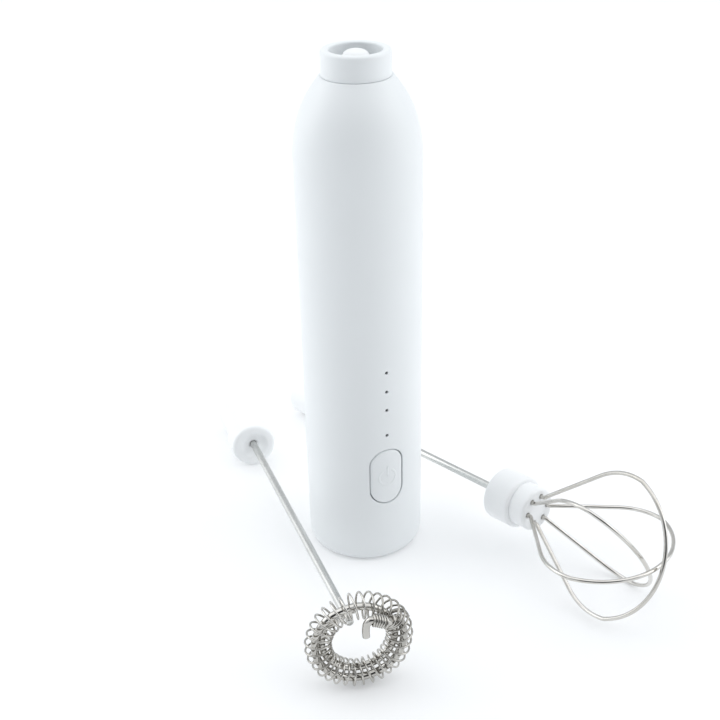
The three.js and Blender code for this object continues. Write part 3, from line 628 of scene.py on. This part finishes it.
def spigot():
    bore = SHAFT_R + GAP
    spring = SPIGOT_HIGH - SPIGOT_DOME
    dome = [(SPIGOT_R * math.cos(t), spring + SPIGOT_DOME * math.sin(t))
            for t in np.linspace(0, math.pi / 2, 14)[1:-1]]
    flange_top = SPIGOT_LOW + SPIGOT_FLANGE_T
    bore_end = SPIGOT_HIGH - SPIGOT_TOP_T
    outline = rounded([
        (bore, SPIGOT_LOW), (SPIGOT_FLANGE_R, SPIGOT_LOW, 0.3), (SPIGOT_FLANGE_R, flange_top, 0.3),
        (SPIGOT_R, flange_top), (SPIGOT_R, spring)])
    outline += [*dome, (0, SPIGOT_HIGH), (0, bore_end), (bore, bore_end)]
    settle(turned("spigot_fine", outline, "connector_white", 80, closed=True),
           "spindle", "connector_white", "drive_spigot")


MARK_R = 2.7
MARK_HALF_W = 0.28
MARK_HIGH = 0.13
MARK_GAP = math.radians(38)
MARK_BAR_Z = (1.0, 3.5)
MARK_SLOPE = 0.16


def mark_height(x, z):
    """A raised standby sign: an open circle with a short bar in its gap."""
    angle = abs(math.atan2(x, z))
    if angle > MARK_GAP:
        ring = abs(math.hypot(x, z) - MARK_R)
    else:
        ring = math.hypot(abs(x) - MARK_R * math.sin(MARK_GAP), z - MARK_R * math.cos(MARK_GAP))
    bar_low, bar_high = MARK_BAR_Z
    bar = math.hypot(x, z - min(bar_high, max(bar_low, z)))
    return MARK_HIGH * (1 - smooth((min(ring, bar) - MARK_HALF_W + MARK_SLOPE / 2) / MARK_SLOPE))


def button():
    """The cap follows the handle's round wall, with rounded edges and a raised sign."""
    around, inward = 320, 96
    pairs = stadium(BUTTON_W, BUTTON_H, around)
    radius = BUTTON_W / 2
    fillet = 0.55
    crown = 0.12
    rings = []
    for step in range(inward + 1):
        share = step / inward
        reach = radius * (0.001 + 0.999 * (1 - share))
        ring = []
        edge = radius - reach
        drop = fillet - math.sqrt(fillet**2 - max(0, fillet - edge) ** 2)
        for middle, out in pairs:
            p = middle + out * reach
            lift = crown * (1 - (reach / radius) ** 2) + mark_height(p.x, p.y)
            ring.append((p.x, -math.sqrt((BODY_R - 0.02) ** 2 - p.x**2) + drop - lift, BUTTON_Z + p.y))
        rings.append(ring)
    flange_rear = BUTTON_FLANGE_Y + BUTTON_FLANGE_T
    wall = radius + BUTTON_FLANGE
    bevel, neck = 0.2, 0.15
    skirt = [(wall - bevel, flange_rear), (wall, flange_rear - bevel), (wall, BUTTON_FLANGE_Y + bevel),
             (wall - bevel, BUTTON_FLANGE_Y), (radius + neck, BUTTON_FLANGE_Y),
             (radius, BUTTON_FLANGE_Y - neck)]
    cap = lofted("button_fine", flat_rings(pairs, skirt, BUTTON_Z) + rings, "handle_white", 42)
    settle(cap, "button", "handle_white", "button_cap")


def inlet():
    front, rear = INLET_Y
    pairs = stadium(INLET_W, INLET_H, 72)
    half, inner = INLET_H / 2, INLET_H / 2 - INLET_WALL
    bands = [(half, front), (half, rear - INLET_CORNER), (half - 0.05, rear - 0.03),
             (half - INLET_CORNER, rear), (half - 0.25, rear), (half - 0.33, rear - 0.05),
             (inner, rear - 0.15), (inner, front + 1)]
    rings = [ring[::-1] for ring in flat_rings(pairs, bands, INLET_Z)]
    shield = lofted("inlet_fine", rings, "plated_steel", 30)
    settle(shield, "handle", "plated_steel", "charge_inlet")
    half = TONGUE_T / 2
    bands = [(half, front + 0.9), (half, rear - 1.1), (half - 0.12, rear - 0.95),
             (half - 0.25, rear - 0.9)]
    rings = [ring[::-1] for ring in flat_rings(stadium(TONGUE_W, TONGUE_T, 40), bands, INLET_Z)]
    tongue = lofted("inlet_tongue_fine", rings, "black_plastic", 40)
    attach(tongue, "handle")


# ---- Whisks ----
def lay_down(end, heading, far_radius, far_station):
    """Where a whisk lies: its own +Z runs from the stem's open end, heading from -Y towards +X."""
    supports = [(0, STEM_R), (STEM_L, HEAD_R)]
    climb = min(math.atan2(far_radius - r, far_station - at) for at, r in supports)
    height = max(r * math.cos(climb) - at * math.sin(climb) for at, r in supports)
    ahead = Vector((math.sin(heading) * math.cos(climb), -math.cos(heading) * math.cos(climb),
                    math.sin(climb)))
    right = Vector((0, 0, 1)).cross(ahead).normalized()
    up = ahead.cross(right)
    turn = Matrix((right, up, ahead)).transposed().to_4x4()
    return Matrix.Translation((end[0] * MM, end[1] * MM, height * MM)) @ turn


def connector(name, place, body, node):
    """The white push-in end: a stem with the bore, and a wider head dished round the rod."""
    hole = ROD_R + 0.12
    dish_floor_r = hole + 0.25
    dish_floor = CONNECTOR_L - DISH_DEPTH
    dish = [(dish_floor_r + (DISH_R - dish_floor_r) * s, dish_floor + DISH_DEPTH * s**2.2)
            for s in np.linspace(1, 0, 12)[1:-1]]
    outline = rounded([
        (CONNECTOR_BORE_R, 0, 0.3), (STEM_R, 0, 0.55), (STEM_R, STEM_L, 0.15), (HEAD_R, STEM_L, 0.45),
        (HEAD_R, CONNECTOR_L, 1.15), (DISH_R + 0.1, CONNECTOR_L, 0.12)], steps=8)
    outline = outline[1:] + dish + [(hole, dish_floor - 0.35), (hole, CONNECTOR_BORE_L)]
    outline += [(CONNECTOR_BORE_R, CONNECTOR_BORE_L), (CONNECTOR_BORE_R, 0.35),
                (CONNECTOR_BORE_R + 0.1, 0.1), (CONNECTOR_BORE_R + 0.35, 0)]
    settle(turned(name, outline, "connector_white", 112, closed=True), body, "connector_white",
           node, place=place)


def rod(name, end, place, body, node):
    path = [(0, 0, z) for z in np.linspace(ROD_START, end - ROD_END_GAP, 60)]
    settle(swept(name, path, ROD_R, "satin_rod", 28), body, "satin_rod", node, place=place)


def ring_point(angle, radius, front):
    """A point of the ring's own frame, where +Z is towards the whisk's front end."""
    return Vector((radius * math.cos(angle), radius * math.sin(angle), front))


def hook_share(turn):
    """1 in the bundle behind the hook, and 0 where the coil is open."""
    return 1 - smooth((turn - BUNDLE_END) / (LEAD_END - BUNDLE_END))


def ring_wire(place):
    """A spiral of a lap and three quarters, from its hook in front to its spoke on the rod."""
    start = RING_WIRE_START
    end = HOOK_ANGLE + 2 * TAU - SPOKE_ANGLE
    lap_end = HOOK_ANGLE + TAU - SPOKE_ANGLE
    points = [(x, y, BUNDLE_FRONT - behind) for x, y, behind in HOOK_POINTS]
    steps = 60
    for i in range(steps + 1):
        turn = start + (end - start) * i / steps
        hooked = hook_share(turn)
        side = (1 - 2 * smooth((turn - lap_end) / STRAND_SWAP)) * (1 - hooked)
        points.append(ring_point(HOOK_ANGLE - turn, RING_R + STRAND_OUT * side - BUNDLE_IN * hooked,
                                 STRAND_FRONT * side + BUNDLE_FRONT * hooked))
    weld = ROD_R + RING_WIRE_R - WELD_DEPTH
    spoke = [ring_point(SPOKE_ANGLE - 0.16, RING_R - 3.4, -2.4), (-4.4, weld + 1.0, -5.4),
             (-1.6, weld + 0.25, -ROD_TIP_BACK - 1.8), (0.9, weld, -ROD_TIP_BACK - 2.7)]
    # The ring wire takes the darker wire: its darkness is painted shade.
    wire = swept("ring_wire_fine", spline([*points, *spoke], 0.55), RING_WIRE_R, "coil_wire_painted_shade", 20)
    settle(wire, "froth_whisk", "bright_wire", "froth_ring_wire", place=place)


def ring_coil(place):
    """The coil: a tight bundle behind the hook, then open turns round both strands.

    Its turns vary a little in size, as wound wire does.
    """
    stretches = [(BUNDLE_START, BUNDLE_END, 5), (BUNDLE_END, LEAD_END, 3), (LEAD_END, COIL_END, 33)]
    per_turn = 22
    points = []
    total = 0
    for start, end, turns in stretches:
        steps = turns * per_turn
        for i in range(1 if points else 0, steps + 1):
            turn = start + (end - start) * i / steps
            hooked = hook_share(turn)
            uneven = 1 + 0.03 * math.sin(7.3 * turn) + 0.02 * math.sin(17.9 * turn + 1)
            radius = (COIL_R + (BUNDLE_R - COIL_R) * hooked**0.7) * min(1, uneven)
            phase = TAU * (total + i / per_turn)
            points.append(ring_point(HOOK_ANGLE - turn,
                                     RING_R - BUNDLE_IN * hooked + radius * math.cos(phase),
                                     BUNDLE_FRONT * hooked + radius * math.sin(phase)))
        total += turns
    # The coil takes the darker wire: its darkness is painted shade between its turns.
    wire = swept("coil_fine", points, COIL_WIRE_R, "coil_wire_painted_shade", 10)
    settle(wire, "froth_whisk", "bright_wire", "froth_coil", place=place)


def froth_whisk():
    place = lay_down(FROTH_END, FROTH_HEADING, RING_R + COIL_R + COIL_WIRE_R, RING_STATION)
    connector("froth_connector_fine", place, "froth_whisk", "froth_connector")
    rod("froth_rod_fine", RING_STATION - ROD_TIP_BACK, place, "froth_whisk", "froth_rod")
    lean = Matrix.Translation((0, 0, RING_STATION * MM)) @ Matrix.Rotation(RING_LEAN, 4, "Y")
    ring_wire(place @ lean)
    ring_coil(place @ lean)


def half_loop(loop, side):
    """Half of a loop, as (radius, station): root, flare, rounded corner and quarter ellipse."""
    bend = Vector((LOOP_ROOT_R, NOSE_END + LOOP_RUN))
    corner = Vector((loop["corner_r"][side], loop["station"]))
    flare = (corner - bend).normalized()
    tall = loop["apex"] - loop["station"]

    def over(turn):
        return Vector((corner.x * math.cos(turn), corner.y + tall * math.sin(turn)))

    corner_turn = LOOP_CORNER_ROUND / corner.x
    first, last = corner - flare * LOOP_CORNER_ROUND, over(corner_turn)
    points = [Vector((LOOP_ROOT_R, NOSE_END - LOOP_ROOT_DEPTH)), Vector((LOOP_ROOT_R, NOSE_END)), bend]
    points += [bend.lerp(first, s) for s in (0.08, 0.5, 0.9)]
    for t in np.linspace(0, 1, 13):
        points.append(first * (1 - t) ** 2 + corner * (2 * t * (1 - t)) + last * t * t)
    points += [over(turn) for turn in np.linspace(corner_turn, math.pi / 2, 17)[1:]]
    return points


def lowest_corner():
    """How far the loops reach below the axis when the whisk lies down, and at what station."""
    corners = []
    for loop in LOOPS:
        for side in (0, 1):
            widest = max(half_loop(loop, side), key=lambda p: p.x)
            below = math.sin(loop["turn"]) * (-1 if side == 0 else 1)
            corners.append((widest.x * below, widest.y))
    return max(corners)


def balloon_loop(index, place):
    loop = LOOPS[index]
    c, s = math.cos(loop["turn"]), math.sin(loop["turn"])
    path = [(p.x * c, p.x * s, p.y) for p in half_loop(loop, 0)]
    path += [(-p.x * c, -p.x * s, p.y) for p in half_loop(loop, 1)[-2::-1]]
    wire = swept(f"loop_fine_{index + 1}", spline(path, 0.6), LOOP_WIRE_R, "bright_wire", 18)
    settle(wire, "balloon_whisk", "bright_wire", f"balloon_loop_{index + 1}", place=place)


def hub(place):
    hole = ROD_R + 0.1
    low, high = HUB_STATION, NOSE_START
    outline = rounded([
        (hole, low), (HUB_R, low, 0.9), (HUB_R, high, 0.8), (hole, high)], closed=True, steps=8)
    settle(turned("hub_fine", outline, "connector_white", 128, closed=True), "balloon_whisk",
           "connector_white", "balloon_hub", place=place)


def nose(place):
    low, high = NOSE_START + 0.02, NOSE_END
    outline = rounded([(0, low), (NOSE_R, low), (NOSE_R, high, 0.9), (0, high)], steps=8)
    part = turned("nose_fine", outline, "connector_white", 128)
    bottom, width, mouth = high - NOSE_HOLE_DEPTH, LOOP_WIRE_R + 0.1, LOOP_WIRE_R + 0.4
    hole_outline = [(0, bottom), (width, bottom), (width, high - 0.3), (width + 0.14, high - 0.08),
                    (mouth, high + 0.05), (mouth, high + 1), (0, high + 1)]
    holes = []
    for i, angle in enumerate(loop["turn"] + half for loop in LOOPS for half in (0, math.pi)):
        hole = turned(f"nose_hole_{i}", hole_outline, "connector_white", 28)
        hole.location = (LOOP_ROOT_R * math.cos(angle) * MM, LOOP_ROOT_R * math.sin(angle) * MM, 0)
        holes.append(hole)
    bpy.context.view_layer.update()
    settle(carve(part, *holes), "balloon_whisk", "connector_white", "balloon_hub_nose", place=place)


def balloon_whisk():
    depth, station = lowest_corner()
    place = lay_down(BALLOON_END, BALLOON_HEADING, depth + LOOP_WIRE_R + REST_GAP, station)
    connector("balloon_connector_fine", place, "balloon_whisk", "balloon_connector")
    rod("balloon_rod_fine", HUB_STATION + HUB_L - GAP, place, "balloon_whisk", "balloon_rod")
    hub(place)
    nose(place)
    for index in range(len(LOOPS)):
        balloon_loop(index, place)


# ---- Pieces that keep their CAD solids ----
INNER_LOOKS = {
    "grey_plastic": ["inner_frame", "motor_cradle"],
    "cell_wrap": ["battery"],
    "green_board": ["main_board", "charge_board"],
    "clear_plastic": ["light_guide", "status_led_1", "status_led_2", "status_led_3", "status_led_4"],
    "black_plastic": ["switch_body", "switch_plunger", "motor_end_bell"],
    "black_rubber": ["motor_sleeve", "shaft_seal"],
    "plated_steel": ["base_screw_1", "base_screw_2", "motor_screw_1", "motor_screw_2", "motor_can",
                     "motor_shaft"],
    "ferrite": ["magnet_1", "magnet_2"],
    "bronze_bush": ["rear_bush", "front_bush"],
    "copper_winding": ["armature", "commutator"],
}


def dress_inner_pieces():
    for look, nodes in INNER_LOOKS.items():
        for node in nodes:
            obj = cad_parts[node]
            obj.data.materials.clear()
            obj.data.materials.append(LOOKS[look])


# ---- Camera, floor and lights ----
def add_camera():
    data = bpy.data.cameras.new("camera")
    data.lens = CAMERA_LENS
    data.clip_start = 0.01
    camera = bpy.data.objects.new("camera", data)
    bpy.context.scene.collection.objects.link(camera)
    level = Vector((math.sin(CAMERA_YAW), math.cos(CAMERA_YAW), 0))
    ahead = level * math.cos(CAMERA_PITCH) - Vector((0, 0, math.sin(CAMERA_PITCH)))
    right = ahead.cross(Vector((0, 0, 1))).normalized()
    up = right.cross(ahead)
    c, s = math.cos(CAMERA_ROLL), math.sin(CAMERA_ROLL)
    turned_right, turned_up = right * c + up * s, up * c - right * s
    axes = Matrix((turned_right, turned_up, -ahead)).transposed()
    spin = Matrix.Rotation(CAMERA_AZIMUTH, 3, "Z")
    camera.matrix_world = Matrix.Translation(CAMERA_AT) @ (spin @ axes).to_4x4()
    bpy.context.scene.camera = camera


def add_floor():
    mesh = bpy.data.meshes.new("floor")
    h = FLOOR_HALF
    mesh.from_pydata([(-h, -h, 0), (h, -h, 0), (h, h, 0), (-h, h, 0)], [], [(0, 1, 2, 3)])
    floor = bpy.data.objects.new("floor", mesh)
    bpy.context.scene.collection.objects.link(floor)
    look = Look("floor", (0.75, 0.755, 0.76), 0.6)
    look.shader.inputs["Emission Color"].default_value = (0.96, 0.98, 1.0, 1)
    look.shader.inputs["Emission Strength"].default_value = FLOOR_GLOW
    look.shader.inputs["Specular IOR Level"].default_value = 0.2
    look.roughness_from(look.noise(40, 3), 0.55, 0.65)
    mesh.materials.append(look.material)


def softbox(name, at, size, power):
    """A large soft light, level if it is overhead, and turned towards the handle if not."""
    data = bpy.data.lights.new(name, "AREA")
    data.shape = "RECTANGLE"
    data.size, data.size_y = size
    data.energy = power
    light = bpy.data.objects.new(name, data)
    bpy.context.scene.collection.objects.link(light)
    light.location = at
    if name == "overhead":
        light.rotation_euler = (0, 0, CAMERA_AZIMUTH)
    else:
        aim = Vector(LIGHT_AIM) - Vector(at)
        light.rotation_euler = aim.to_track_quat("-Z", "Y").to_euler()


def around(angle, distance, height):
    """A point round the object: angle 0 is towards the camera, and 90 is to the camera's right."""
    turn = CAMERA_AZIMUTH - math.pi / 2 + math.radians(angle)
    return (distance * math.cos(turn), distance * math.sin(turn), height)


def dark_card():
    """The unlit side of the studio, behind the camera: it shows in the wires and down the handle."""
    mesh = bpy.data.meshes.new("dark_side")
    w, h = CARD_SIZE[0] / 2, CARD_SIZE[1] / 2
    mesh.from_pydata([(-w, -h, 0), (w, -h, 0), (w, h, 0), (-w, h, 0)], [], [(0, 1, 2, 3)])
    card = bpy.data.objects.new("dark_side", mesh)
    bpy.context.scene.collection.objects.link(card)
    mesh.materials.append(Look("dark_side", (0.03, 0.03, 0.03), 0.9).material)
    card.location = around(0, *CARD_AT)
    card.rotation_euler = (-card.location).to_track_quat("-Z", "Y").to_euler()
    card.visible_camera = False


def add_lights():
    world = bpy.data.worlds.new("studio")
    world.use_nodes = True
    background = world.node_tree.nodes["Background"].inputs
    background["Color"].default_value = (*WORLD_COLOR, 1)
    background["Strength"].default_value = WORLD_STRENGTH
    bpy.context.scene.world = world
    dark_card()
    for name, angle, distance, height, size, power in SOFTBOXES:
        softbox(name, around(angle, distance, height), size, power)


def frame_view():
    bpy.context.scene.view_settings.view_transform = "Standard"
    bpy.context.scene.view_settings.exposure = 0


shell()
base()
collar()
spigot()
button()
inlet()
froth_whisk()
balloon_whisk()
dress_inner_pieces()
add_camera()
add_floor()
add_lights()
frame_view()
